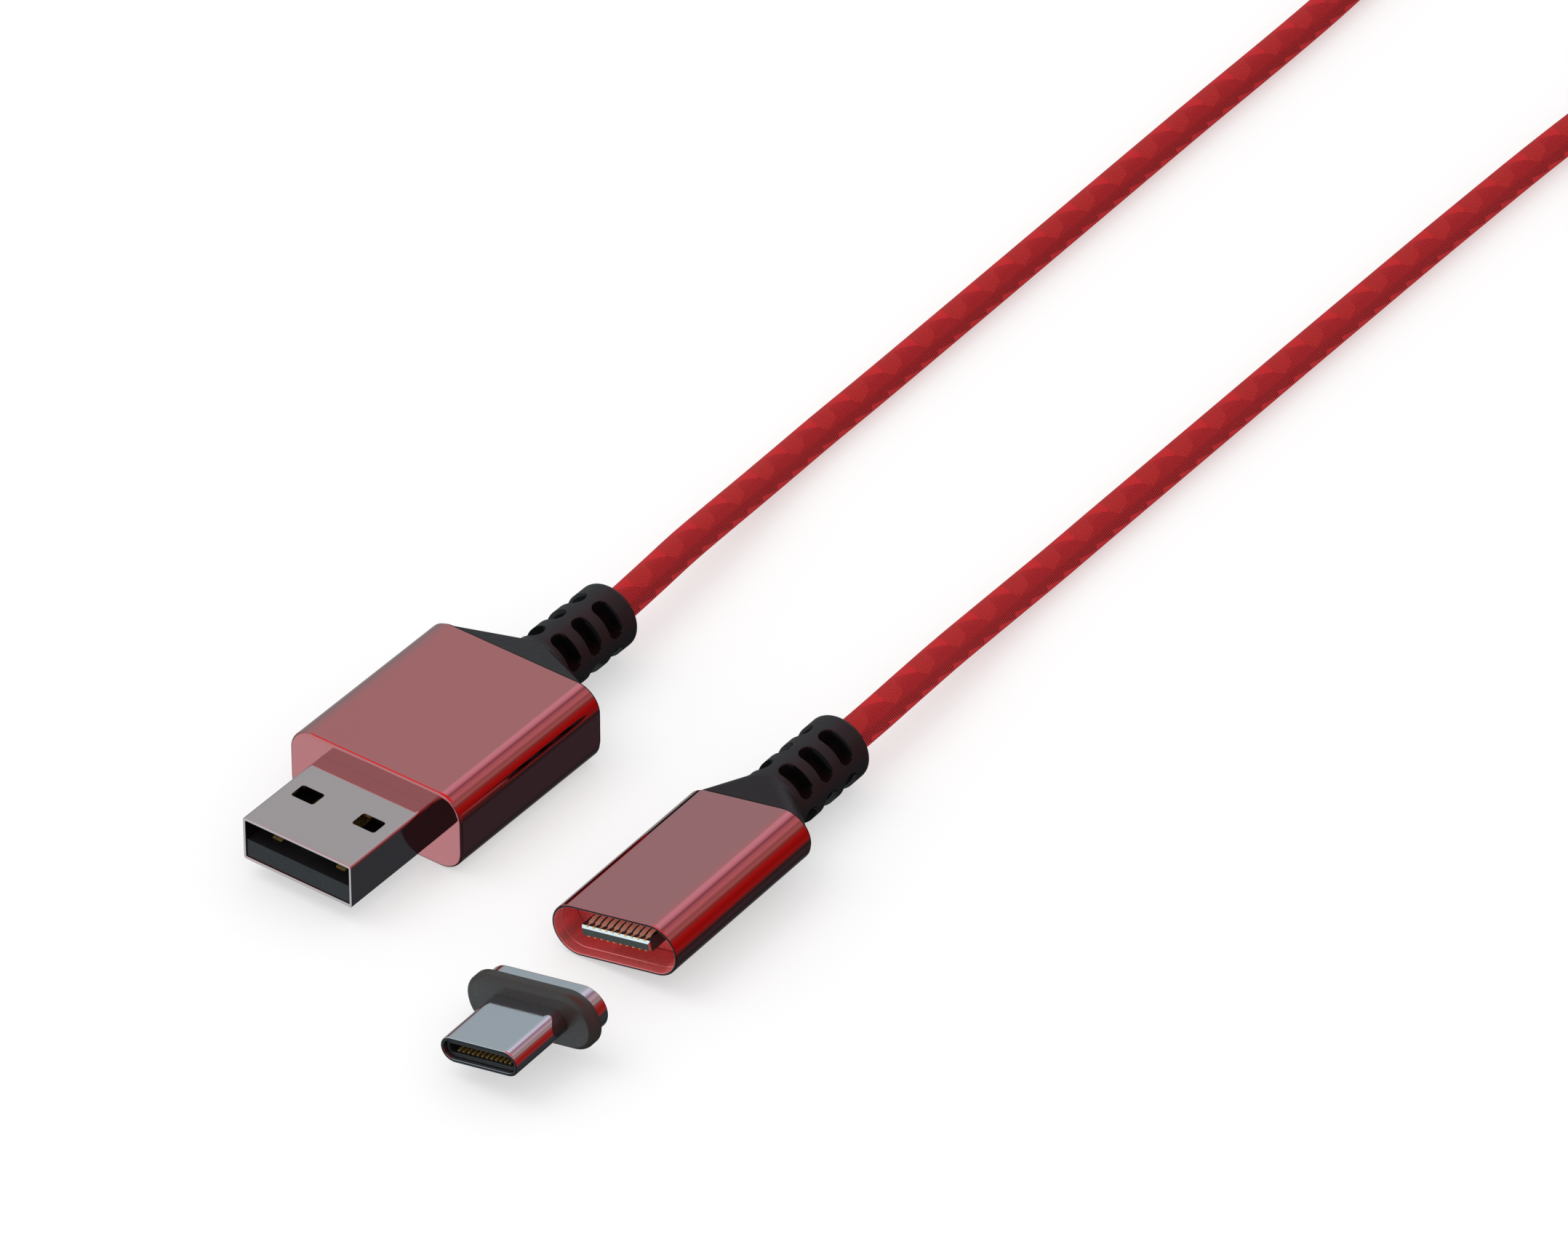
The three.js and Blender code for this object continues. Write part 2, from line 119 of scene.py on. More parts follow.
CORD_R = 1.65
USB_ROUTE = [
    (0, 4.4, 4), (0, 14, 4), (0, 24, 4), (-0.35, 30, 3.97), (-0.95, 36, 3.72),
    (-1.55, 42, 3.2), (-2.2, 48, 2.55), (-2.8, 54, 2), (-3.2, 60, 1.72), (-3.4, 68, 1.65),
    (-3.7, 80, 1.65), (-4.25, 100, 1.65), (-4.8, 120, 1.65), (-5.45, 146, 1.65),
    (-6.6, 160, 1.65), (-8.4, 174, 1.8), (-10.4, 187, 2.2), (-11.7, 199.5, 2.45),
]  # fmt: skip
DOCK_ROUTE = [
    (28.106, 1.447, 3.63), (27.9, 11.5, 3.63), (27.706, 21.04, 3.63), (27.6, 26, 3.6),
    (27.25, 32, 3.4), (26.75, 38, 2.95), (26.3, 44, 2.4), (25.95, 50, 1.95),
    (25.75, 56, 1.7), (25.6, 64, 1.65), (25.45, 78, 1.65), (25.2, 100, 1.65),
    (25.05, 122, 1.65), (25.2, 140, 1.65), (26.3, 156, 2.1), (28.3, 170, 3.1),
    (30.2, 184, 4.4), (31.4, 198, 5.5),
]  # fmt: skip
COIL = {"x": 9.8, "y": 214.0, "outer": 22.2, "inner": 12.8, "turns": 2.75, "low": 2.5, "high": 5.9}
COIL_CLIMB = math.radians(75)
COIL_CLIMB_EARLY = 0.15  # the part of the climb that comes before the middle
COIL_STEPS = 24  # points in a turn
CORD_MESH = {"columns": 40, "spacing": 0.42, "relief": 0.05}
TIE = {"thick": 0.62, "clearance": 0.14, "r": 1.9, "half_width": 2.95, "soft": 0.12}

WEAVE_PERIOD = 5.33  # along the cord
WEAVE_PHASE = {"usb": 0.64, "dock": 0.1}  # periods by which the pattern has begun at each end
WEAVE_START = math.radians(135)  # where round the USB end's cord its pattern starts
WEAVE_LINES = 23  # grooves in one period
HATCH_LINES = 27  # the same across a crosshatched patch
# In half turns round the cord: where the fan's yarns start, and over how much they bend. The
# slopes are periods along for each half turn.
FAN = {"from": 0.1, "over": 0.45, "slope": 1.23, "easing": 0.82, "end_slope": 0.49}

# ---------------------------------------------------------------- meshes

FILLET_STEPS = 5
SHARP = math.radians(32)  # the angle from which an edge stays sharp
SHARP_ON_RUBBER = math.radians(60)
SHARP_ON_COLLAR = math.radians(50)
SHARP_ON_CORD = math.radians(70)
NORMAL_WEIGHT = 80


def rounded_rect(w, h, r, arc=8):
    """Points (x, z) round a rounded rectangle."""
    points = []
    for quarter, (sx, sz) in enumerate(((1, 1), (-1, 1), (-1, -1), (1, -1))):
        for i in range(arc + 1):
            a = (quarter + i / arc) * math.pi / 2
            points.append(
                (sx * (w / 2 - r) + r * math.cos(a), sz * (h / 2 - r) + r * math.sin(a))
            )
    return points


def stadium(w, h, arc=14):
    return rounded_rect(w, h, h / 2 - 0.005, arc)


def at(y, outline):
    return [(x, y, z) for x, z in outline]


def linked(name, data):
    obj = bpy.data.objects.new(name, data)
    bpy.context.scene.collection.objects.link(obj)
    return obj


def fillet(outline, y, radius, towards, first_inset=0.0, inwards=True):
    """Rings that turn a corner of a wall. outline(inset) gives the points. towards is +1 or -1,
    the way along Y from the flat end to the wall. inwards ends on the flat, otherwise it starts
    there and ends on the inner wall."""
    rings = []
    for i in range(FILLET_STEPS + 1):
        a = i / FILLET_STEPS * math.pi / 2
        if inwards:
            inset, depth = radius * (1 - math.cos(a)), radius * (1 - math.sin(a))
        else:
            inset, depth = radius * (math.sin(a) - 1), radius * (1 - math.cos(a))
        rings.append(at(y + towards * depth, outline(first_inset + inset)))
    return rings


def loft(name, rings, closed=False):
    """An object whose skin runs over rings of equally many points. closed joins the last ring to
    the first, as on a tube with a wall; otherwise both ends are capped."""
    n = len(rings[0])
    verts = [p for ring in rings for p in ring]
    faces = []
    for k in range(len(rings) if closed else len(rings) - 1):
        a, b = k * n, (k + 1) % len(rings) * n
        for i in range(n):
            j = (i + 1) % n
            faces.append((a + i, b + i, b + j, a + j))
    if not closed:
        faces.append(tuple(range(n)))
        faces.append(tuple(range(len(verts) - n, len(verts))))
    return solid(name, verts, faces)


def solid(name, verts, faces, merge=1e-4):
    mesh = bpy.data.meshes.new(name)
    mesh.from_pydata(verts, [], faces)
    bm = bmesh.new()
    bm.from_mesh(mesh)
    bmesh.ops.remove_doubles(bm, verts=bm.verts, dist=merge)
    bmesh.ops.dissolve_degenerate(bm, edges=bm.edges, dist=merge)
    bmesh.ops.recalc_face_normals(bm, faces=bm.faces)
    bm.to_mesh(mesh)
    bm.free()
    return linked(name, mesh)


def block(name, w, h, front, back, x=0.0, z=0.0):
    rings = [[(x + px, y, z + pz) for px, pz in rounded_rect(w, h, 1e-3, 1)] for y in (front, back)]
    return loft(name, rings)


def applied(obj):
    """The object with its modifiers made part of its mesh."""
    graph = bpy.context.evaluated_depsgraph_get()
    mesh = bpy.data.meshes.new_from_object(obj.evaluated_get(graph))
    obj.modifiers.clear()
    obj.data = mesh
    return obj


def cut(obj, *tools):
    for tool in tools:
        modifier = obj.modifiers.new("cut", "BOOLEAN")
        modifier.operation = "DIFFERENCE"
        modifier.solver = "EXACT"
        modifier.object = tool
    applied(obj)
    for tool in tools:
        bpy.data.objects.remove(tool)


def bevelled(obj, width, segments=2, angle=math.radians(40)):
    modifier = obj.modifiers.new("bevel", "BEVEL")
    modifier.width = width
    modifier.segments = segments
    modifier.limit_method = "ANGLE"
    modifier.angle_limit = angle
    return applied(obj)


def joined(obj, *others):
    """Makes the others part of obj, with the materials of each kept."""
    with bpy.context.temp_override(
        active_object=obj, selected_objects=[obj, *others], selected_editable_objects=[obj, *others]
    ):
        bpy.ops.object.join()


def painted(obj, *materials):
    for material in materials:
        obj.data.materials.append(material)
    return obj


def paint_faces(obj, index, chosen):
    """The material of that index on the faces whose centre and normal chosen(c, n) accepts."""
    for face in obj.data.polygons:
        if chosen(face.center, face.normal):
            face.material_index = index


def finished(obj, place, body, slot, *nodes, sharp=SHARP, weighted=True):
    """The piece in metres where place says, smooth but for its edges, riding on its body."""
    obj.data.transform(Matrix.Scale(MM, 4) @ place)
    bm = bmesh.new()
    bm.from_mesh(obj.data)
    for face in bm.faces:
        face.smooth = True
    for edge in bm.edges:
        edge.smooth = len(edge.link_faces) == 2 and edge.calc_face_angle(math.pi) < sharp
    bm.to_mesh(obj.data)
    bm.free()
    if weighted:
        modifier = obj.modifiers.new("weighted", "WEIGHTED_NORMAL")
        modifier.keep_sharp = True
        modifier.weight = NORMAL_WEIGHT
    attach(obj, body)
    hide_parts(*nodes)
    return obj


# ---------------------------------------------------------------- materials


class Nodes:
    """A short way to write a material's node tree."""

    def __init__(self, tree):
        self.tree = tree

    def node(self, kind, inputs=(), **settings):
        made = self.tree.nodes.new(kind)
        for key, value in settings.items():
            setattr(made, key, value)
        for key, value in dict(inputs).items():
            self.put(made.inputs[key], value)
        return made

    def put(self, socket, value):
        if isinstance(value, bpy.types.NodeSocket):
            self.tree.links.new(value, socket)
        else:
            socket.default_value = value

    def math(self, operation, *values):
        made = self.tree.nodes.new("ShaderNodeMath")
        made.operation = operation
        for socket, value in zip(made.inputs, values):
            self.put(socket, value)
        return made.outputs[0]

    def add(self, a, b):
        return self.math("ADD", a, b)

    def sub(self, a, b):
        return self.math("SUBTRACT", a, b)

    def mul(self, a, b):
        return self.math("MULTIPLY", a, b)

    def maximum(self, a, b):
        return self.math("MAXIMUM", a, b)

    def step(self, value, low, high, to_low=0.0, to_high=1.0):
        """A smooth step from to_low at low to to_high at high."""
        made = self.node(
            "ShaderNodeMapRange",
            {"Value": value, "From Min": low, "From Max": high, "To Min": to_low, "To Max": to_high},
            interpolation_type="SMOOTHSTEP",
        )
        return made.outputs["Result"]

    def mix(self, factor, a, b):
        made = self.tree.nodes.new("ShaderNodeMix")
        made.data_type = "RGBA"
        self.put(made.inputs["Factor"], factor)
        self.put(made.inputs["A"], a)
        self.put(made.inputs["B"], b)
        return made.outputs["Result"]

    def place(self, scale=(1.0, 1.0, 1.0)):
        """The point on the object, in units that scale stretches."""
        coordinates = self.node("ShaderNodeTexCoord").outputs["Object"]
        return self.node("ShaderNodeMapping", {"Vector": coordinates, "Scale": scale}).outputs[0]

    def noise(self, scale, vector, detail=3.0):
        made = self.node("ShaderNodeTexNoise", {"Vector": vector, "Scale": scale, "Detail": detail})
        return made.outputs["Fac"]

    def bump(self, height, distance_mm):
        made = self.node(
            "ShaderNodeBump", {"Height": height, "Distance": distance_mm * MM, "Strength": 1.0}
        )
        return made.outputs["Normal"]


BROAD_GRAIN = 14  # how much coarser than a surface's grain its shading is


def rgb(*values):
    return (*values, 1.0)


def material(name, **sockets):
    """A Principled material with those values, and the helper for its tree."""
    made = bpy.data.materials.new(name)
    made.use_nodes = True
    nodes = Nodes(made.node_tree)
    shader = made.node_tree.nodes["Principled BSDF"]
    for key, value in sockets.items():
        nodes.put(shader.inputs[key.replace("_", " ")], value)
    return made, nodes, shader


def grained(name, colour, shade, metallic, rough, grain, bump_mm, stretch=(1, 1, 1), **sockets):
    """A surface whose colour, roughness and height vary with a noise of so many grains a metre.
    rough is the lowest and highest roughness, and shade darkens the colour in broad random patches."""
    made, nodes, shader = material(name, Metallic=metallic, **sockets)
    place = nodes.place(stretch)
    fine = nodes.noise(grain, place)
    broad = nodes.noise(grain / BROAD_GRAIN, place, detail=2.0)
    darker = rgb(*(c * shade for c in colour))
    nodes.put(shader.inputs["Base Color"], nodes.mix(broad, darker, rgb(*colour)))
    nodes.put(shader.inputs["Roughness"], nodes.step(fine, 0.3, 0.7, *rough))
    nodes.put(shader.inputs["Normal"], nodes.bump(fine, bump_mm))
    return made


RED_METAL = grained(
    "red_anodised_metal", (0.50, 0.012, 0.014), 0.97, 1.0, (0.05, 0.09), 900, 0.0004,
    (1.0, 0.06, 1.0), Coat_Weight=1.0, Coat_IOR=2.4, Coat_Roughness=0.03,
)  # fmt: skip
PLUG_STEEL = grained(
    "plug_steel", (0.57, 0.46, 0.45), 0.97, 1.0, (0.05, 0.09), 1500, 0.0004, (1.0, 0.08, 1.0)
)
TIP_STEEL = grained(
    "tip_steel", (0.60, 0.565, 0.59), 0.97, 1.0, (0.06, 0.11), 1500, 0.0005, (1.0, 0.1, 1.0)
)
RIM_STEEL = grained("dark_rim", (0.028, 0.028, 0.03), 0.9, 1.0, (0.2, 0.3), 2500, 0.001)
EDGE_STEEL = grained("polished_edge", (0.92, 0.90, 0.90), 0.97, 1.0, (0.1, 0.16), 2500, 0.0006)
CRIMP_STEEL = grained("crimp_steel", (0.6, 0.6, 0.6), 0.85, 1.0, (0.25, 0.4), 2500, 0.002)
MAGNET = grained("magnet_nickel", (0.55, 0.56, 0.58), 0.9, 1.0, (0.2, 0.35), 2500, 0.001)
GOLD = grained("gold_plate", (0.90, 0.62, 0.20), 0.9, 0.75, (0.2, 0.3), 3000, 0.0008)
COPPER = grained("copper_alloy", (1.0, 0.66, 0.50), 0.95, 0.3, (0.3, 0.4), 3000, 0.0008)
BOARD = grained("solder_mask", (0.03, 0.13, 0.06), 0.8, 0.0, (0.3, 0.45), 2500, 0.003)
WIRE = grained("wire_insulation", (0.45, 0.45, 0.45), 0.85, 0.0, (0.4, 0.5), 1800, 0.003)
BLACK_PLASTIC = grained(
    "black_plastic", (0.014, 0.014, 0.016), 0.8, 0.0, (0.38, 0.5), 3500, 0.003,
    Specular_IOR_Level=0.3,
)  # fmt: skip
COLLAR_PLASTIC = grained(
    "collar_plastic", (0.030, 0.024, 0.021), 0.85, 0.0, (0.32, 0.44), 3000, 0.003
)
TONGUE_PLASTIC = grained(
    "tongue_plastic", (0.026, 0.030, 0.027), 0.85, 0.0, (0.35, 0.5), 3000, 0.003
)
BOOT_RUBBER = grained(
    "boot_elastomer", (0.010, 0.010, 0.012), 0.8, 0.0, (0.42, 0.52), 4500, 0.003,
    Specular_IOR_Level=0.32,
)  # fmt: skip
# Near black, duller rubber on the faces in the boots' slots: painted shade in the recesses
SLOT_PAINTED_SHADE = grained(
    "boot_slots_painted_shade", (0.002, 0.002, 0.002), 0.8, 0.0, (0.6, 0.7), 4500, 0.003, Specular_IOR_Level=0.12
)
# The inside of the magnetic connector's sleeve and the base in it, paler and less metallic than the
# outside: painted light in the mouth
INNER_RED_PAINTED_LIGHT = grained(
    "inner_red_painted_light", (0.95, 0.24, 0.24), 0.97, 0.6, (0.2, 0.3), 900, 0.0006
)


def tie_fabric():
    """Hook and loop tape: a pile of fine loops."""
    made, nodes, shader = material("tie_tape", Roughness=0.85, Sheen_Weight=0.3)
    place = nodes.place()
    loops = nodes.node("ShaderNodeTexVoronoi", {"Vector": place, "Scale": 6500.0})
    height = loops.outputs["Distance"]
    nodes.put(
        shader.inputs["Base Color"],
        nodes.mix(nodes.step(height, 0.1, 0.7), rgb(0.035, 0.035, 0.04), rgb(0.008, 0.008, 0.01)),
    )
    nodes.put(shader.inputs["Normal"], nodes.bump(height, 0.05))
    return made


def half_plane(nodes, u, w, start, end, soft):
    """1 to the left of the line from start to end, 0 to its right, and soft wide between."""
    (x0, y0), (x1, y1) = start, end
    length = math.hypot(x1 - x0, y1 - y0)
    a, b = -(y1 - y0) / length, (x1 - x0) / length
    distance = nodes.add(nodes.mul(u, a), nodes.mul(w, b))
    edge = x0 * a + y0 * b
    return nodes.step(distance, edge - soft, edge + soft)


def inside(nodes, u, w, corners, soft=0.012):
    """1 inside a convex outline whose corners run anticlockwise."""
    product = 1.0
    for start, end in zip(corners, corners[1:] + corners[:1]):
        side = half_plane(nodes, u, w, start, end, soft)
        product = side if product == 1.0 else nodes.mul(product, side)
    return product


PATCH = [(0.0, 0.0), (0.47, 0.11), (0.295, 0.45), (0.016, 0.525), (-0.144, 0.376)]
PLAIN = [(0.47, 0.11), (1.0, -0.02), (0.856, 0.376)]


def braid():
    """Zigzag braid: patches of crosshatched yarn, plain triangles between them, and yarns that
    fan out from the patches into dense ribs with a plain sawtooth along their ends. The UV map
    holds periods along the cord and half turns round it."""
    made, nodes, shader = material("red_braid", Roughness=0.7, Specular_IOR_Level=0.25)
    uv = nodes.node("ShaderNodeSeparateXYZ", {"Vector": nodes.node("ShaderNodeUVMap").outputs[0]})
    along = uv.outputs["X"]
    u = nodes.math("FRACT", along)
    w = nodes.math("FRACT", uv.outputs["Y"])
    before = nodes.sub(u, 1.0)
    patch = nodes.maximum(inside(nodes, u, w, PATCH), inside(nodes, before, w, PATCH))
    plain = nodes.maximum(inside(nodes, u, w, PLAIN), inside(nodes, before, w, PLAIN))

    def grooves_with_painted_shade(phase, sharpness):
        """Grooves at each whole number of the phase; the braid sinks them and paints them near black, as
        painted shade.
        """
        wave = nodes.math("COSINE", nodes.mul(phase, 2 * math.pi))
        return nodes.step(wave, 1.0 - sharpness, 1.0)

    wobble = nodes.mul(nodes.sub(nodes.noise(900, nodes.place()), 0.5), 0.5)
    # The fan's yarns turn from 38 to 63 degrees to the cord as they cross it.
    below = nodes.sub(w, FAN["from"])
    turning = nodes.math("MINIMUM", below, FAN["over"])
    eased = nodes.mul(nodes.mul(turning, turning), FAN["easing"])
    curve = nodes.sub(nodes.mul(turning, FAN["slope"]), eased)
    bend = nodes.add(curve, nodes.mul(nodes.sub(below, turning), FAN["end_slope"]))
    fan = grooves_with_painted_shade(nodes.add(nodes.mul(nodes.sub(along, bend), WEAVE_LINES), wobble), 1.1)
    hatch_phase = nodes.mul(nodes.add(along, nodes.mul(w, 0.67)), HATCH_LINES)
    hatch = grooves_with_painted_shade(nodes.add(hatch_phase, wobble), 1.2)
    across = grooves_with_painted_shade(nodes.mul(nodes.sub(along, nodes.mul(w, 1.1)), HATCH_LINES * 0.7), 0.7)
    hatched = nodes.math("MULTIPLY_ADD", across, 0.45, nodes.mul(hatch, 0.75))

    teeth = nodes.math("FRACT", nodes.sub(nodes.mul(along, 2.0), nodes.mul(w, 0.6)))
    rib_end = nodes.add(nodes.mul(teeth, 0.14), 0.71)
    ribbed = nodes.mul(nodes.step(w, 0.40, 0.60), nodes.step(nodes.sub(rib_end, w), -0.01, 0.015))
    fanned = nodes.mul(
        nodes.step(w, 0.0, 0.4, 0.2, 0.7), nodes.step(nodes.sub(rib_end, w), -0.01, 0.015)
    )
    outside = nodes.sub(1.0, nodes.maximum(patch, plain))
    depth = nodes.mul(fan, nodes.mul(outside, nodes.maximum(fanned, ribbed)))
    depth = nodes.maximum(depth, nodes.mul(nodes.mul(patch, hatched), 0.75))
    grain = nodes.noise(5200, nodes.place(), detail=2.0)
    yarn = nodes.mix(grain, rgb(0.42, 0.006, 0.009), rgb(0.56, 0.011, 0.016))
    yarn = nodes.mix(patch, yarn, rgb(0.66, 0.020, 0.020))
    # Painted shade: the grooves and the patches' hatching go near black, as if shade lay in them
    nodes.put(shader.inputs["Base Color"], nodes.mix(depth, yarn, rgb(0.030, 0.0, 0.002)))
    height = nodes.add(nodes.sub(1.0, depth), nodes.mul(grain, 0.12))
    nodes.put(shader.inputs["Normal"], nodes.bump(height, 0.08))
    return made


BRAID = braid()
TIE_TAPE = tie_fabric()

# ---------------------------------------------------------------- where the two ends are

usb_low, usb_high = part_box("usb_housing")
USB_PLACE = Matrix.Translation((0, 0, (usb_low.z + usb_high.z) / 2 / MM))

dock_axis = Vector(frame["joints"][0]["axis"]).normalized()
dock_side = Vector((dock_axis.y, -dock_axis.x, 0)) * math.cos(DOCK_ROLL)
dock_side.z = math.sin(DOCK_ROLL)
dock_low, dock_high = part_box("dock_housing")
dock_mouth = (dock_low + dock_high) / 2 / MM - dock_axis * DOCK["length"] / 2
DOCK_PLACE = Matrix.Translation(dock_mouth) @ Matrix(
    (dock_side, dock_axis, dock_side.cross(dock_axis))
).transposed().to_4x4()

# ---------------------------------------------------------------- both ends' boots


def smooth(t):
    t = np.clip(t, 0, 1)
    return t * t * (3 - 2 * t)


def tapered(t):
    """0 at the housing, then a straight slope with a soft end, to 1 where the sleeve starts."""
    soft = BOOT["taper_soft"]
    if t < 1 - soft:
        return t / (1 - soft / 2)
    return 1 - max(0.0, 1 - t) ** 2 / (2 * soft * (1 - soft / 2))


def slot_edge(y, a):
    """How far the point at y along the boot and angle a round it is outside the nearest slot,
    negative inside, and how far round the slot it is, from 0 in its middle to 1 at its end."""
    half = BOOT_SLOT["arc"] / 2
    round_end = BOOT_SLOT["w"] / 2 - BOOT_SLOT["flat"]
    off = abs(a % (math.pi / 2) - math.pi / 4)
    qx = off * BOOT["r"] - (half * BOOT["r"] - round_end)
    qy = min(abs(y - row) for row in BOOT_SLOT["rows"]) - (BOOT_SLOT["w"] / 2 - round_end)
    edge = math.hypot(max(qx, 0), max(qy, 0)) + min(max(qx, qy), 0) - round_end
    return edge, off / half


def slot_depth(y, a, radius):
    """How far the boot's surface sinks at y along it and angle a round it."""
    edge, round_slot = slot_edge(y, a)
    rise = smooth((round_slot - BOOT_SLOT["rise_from"]) / BOOT_SLOT["rise_over"])
    deepest = BOOT["r"] - BOOT_SLOT["core"]
    bottom = BOOT_SLOT["core"] + (deepest - BOOT_SLOT["end_depth"]) * rise
    lip_starts, lip_width = BOOT_SLOT["lip"]
    return smooth((lip_starts - edge) / lip_width) * max(0.0, radius - bottom)


def boot(name, housing, cavity, back):
    """A boot that lofts from its housing's outline to a round sleeve with three rows of slots.
    housing and cavity are (width, height, corner radius)."""
    angles = [(i + 0.5) / BOOT_COLUMNS * 2 * math.pi for i in range(BOOT_COLUMNS)]

    def outline(half_w, half_h, r):
        return [
            (
                math.copysign(half_w - r, math.cos(a)) + r * math.cos(a),
                math.copysign(half_h - r, math.sin(a)) + r * math.sin(a),
            )
            for a in angles
        ]

    def round_ring(y, r):
        return at(y, [(r * math.cos(a), r * math.sin(a)) for a in angles])

    w, h, r = housing
    flange = (w / 2 - BOOT["inset"], h / 2 - BOOT["inset"], min(r, h / 2 - BOOT["inset"] - 0.01))
    spigot = outline(cavity[0] / 2 - FIT, cavity[1] / 2 - FIT, cavity[2] - FIT)
    edge = BOOT["edge"]
    rings = [
        round_ring(back - BOOT["spigot"], BOOT["bore"]),
        at(back - BOOT["spigot"], spigot),
        at(back + 0.01, spigot),
        at(back + 0.01, outline(flange[0] - edge, flange[1] - edge, flange[2] - edge)),
    ]
    end_fillet = BOOT["end_fillet"]
    sleeve = (BOOT["r"], BOOT["r"], BOOT["r"] - 0.01)
    for k in range(BOOT_ROWS + 1):
        y = k / BOOT_ROWS * BOOT["length"]
        ease = tapered(y / BOOT["taper"])
        mixed = [a + (b - a) * ease for a, b in zip(flange, sleeve)]
        past = max(0.0, y - (BOOT["length"] - end_fillet)) / end_fillet
        inset = end_fillet * (1 - math.sqrt(max(0.0, 1 - past * past)))
        ring = []
        for a, (x, z) in zip(angles, outline(*mixed)):
            radius = math.hypot(x, z)
            sunk = inset + (slot_depth(y, a, radius) if y > BOOT_SLOT["from"] else 0.0)
            scale = (radius - sunk) / radius
            ring.append((x * scale, back + max(y, 0.01 + edge), z * scale))
        rings.append(ring)
    end = back + BOOT["length"]
    rings.append(round_ring(end - 0.02, BOOT["bore"] + BOOT["mouth"]))
    rings.append(round_ring(end - 0.02 - BOOT["mouth"], BOOT["bore"]))
    rubber = painted(loft(name, rings, closed=True), BOOT_RUBBER, SLOT_PAINTED_SHADE)
    # The faces within the slots' outlines take the painted shade
    paint_faces(
        rubber,
        1,
        lambda c, n: slot_edge(c.y - back, math.atan2(c.z, c.x))[0] < 0.03
        and math.hypot(c.x, c.z) > BOOT["bore"] + 0.1,
    )
    return rubber


# ---------------------------------------------------------------- USB-A plug


def sleeve_rings(outline, front, back, wall, outer_fillet, inner_fillet):
    """A tube with a wall and a rounded rim at its front end."""
    return [
        at(back, outline(0)),
        *fillet(outline, front, outer_fillet, 1),
        *fillet(outline, front, inner_fillet, 1, first_inset=wall, inwards=False),
        at(back, outline(wall)),
    ]


def usb_plug():
    place = USB_PLACE
    s = USB_SHELL

    def shell_outline(inset):
        return rounded_rect(s["w"] - 2 * inset, s["h"] - 2 * inset, max(s["r"] - inset, 0.12), 6)

    shell = loft(
        "usb_shell_fine",
        sleeve_rings(shell_outline, s["nose"], s["back"], s["wall"], *s["rim"]),
        closed=True,
    )
    turn = Matrix.Rotation(math.pi / 2, 4, "X")
    window = rounded_rect(USB_WINDOW["w"], USB_WINDOW["l"], USB_WINDOW["r"], 5)
    window_y = s["nose"] + USB_WINDOW["from_nose"] + USB_WINDOW["l"] / 2
    for side in (-1, 1):
        cutter = loft("window", [at(-s["h"], window), at(s["h"], window)])
        centre = (side * USB_WINDOW["x"], window_y, 0)
        cutter.data.transform(Matrix.Translation(centre) @ turn)
        cut(shell, cutter)
    painted(shell, PLUG_STEEL)
    finished(shell, place, "cable", "plug_steel", "usb_shell")

    h = USB_HOUSING
    hole = (s["w"] + HOLE_GAP, s["h"] + HOLE_GAP)

    def housing_outline(inset):
        return rounded_rect(h["w"] - 2 * inset, h["h"] - 2 * inset, h["r"] - inset, 12)

    def hole_outline(inset):
        return rounded_rect(hole[0] + 2 * inset, hole[1] + 2 * inset, s["r"] + inset, 12)

    behind_front = h["front"] + h["front_wall"]
    housing = loft(
        "usb_housing_fine",
        [
            at(h["back"] - h["back_edge"], housing_outline(0)),
            *fillet(housing_outline, h["front"], h["front_edge"], 1),
            at(h["front"], hole_outline(0)),
            at(behind_front, hole_outline(0)),
            at(behind_front, housing_outline(h["wall"])),
            at(h["back"], housing_outline(h["wall"])),
            at(h["back"], housing_outline(h["back_edge"])),
        ],
        closed=True,
    )
    painted(housing, RED_METAL)
    finished(housing, place, "cable", "red_metal", "usb_housing")

    inner = (s["w"] - 2 * s["wall"] - 2 * FIT, s["h"] - 2 * s["wall"] - 2 * FIT)
    bottom = -inner[1] / 2
    top = USB_INSULATOR["top"]
    front = s["nose"] + USB_INSULATOR["from_nose"]
    end = s["back"] - USB_INSULATOR["from_back"]
    insulator = block(
        "usb_insulator_fine", inner[0], top - bottom, front, end, z=(top + bottom) / 2
    )
    channels = []
    for x, nose in USB_CONTACTS:
        start = s["nose"] + nose - USB_CHANNEL["ahead"]
        channels.append(
            block("channel", USB_CHANNEL["w"], USB_CHANNEL["h"], start, s["back"], x, top)
        )
    cut(insulator, *channels)
    bevelled(insulator, SMALL_BEVEL)
    painted(insulator, BLACK_PLASTIC)
    finished(insulator, place, "cable", "black_plastic", "usb_insulator")

    top += USB_CONTACT["rise"]
    wide = USB_CONTACT["w"]
    for i, (x, nose) in enumerate(USB_CONTACTS):
        start = s["nose"] + nose
        path = [(start + behind, top - droop, wide) for behind, droop in USB_CONTACT_DROOP]
        path.append((USB_CONTACT["back"], top, wide))
        contact = strip(f"usb_contact_{i + 1}_fine", path, USB_CONTACT["thick"], x)
        bevelled(contact, SMALL_BEVEL)
        painted(contact, GOLD)
        finished(contact, place, "cable", "gold", f"usb_contact_{i + 1}")

    rubber = boot(
        "usb_boot_fine",
        (h["w"], h["h"], h["r"]),
        (h["w"] - 2 * h["wall"], h["h"] - 2 * h["wall"], h["r"] - h["wall"]),
        h["back"],
    )
    finished(rubber, place, "cable", "boot_rubber", "usb_boot", sharp=SHARP_ON_RUBBER, weighted=False)


def strip(name, path, thick, x=0.0, side=1):
    """A flat strip whose upper face follows the points (y, z, width); side -1 turns it over."""
    rings = []
    for y, z, w in path:
        left, right = x - w / 2, x + w / 2
        upper, lower = side * z, side * (z - thick)
        rings.append([(left, y, upper), (right, y, upper), (right, y, lower), (left, y, lower)])
    return loft(name, rings)


# ---------------------------------------------------------------- magnetic connector


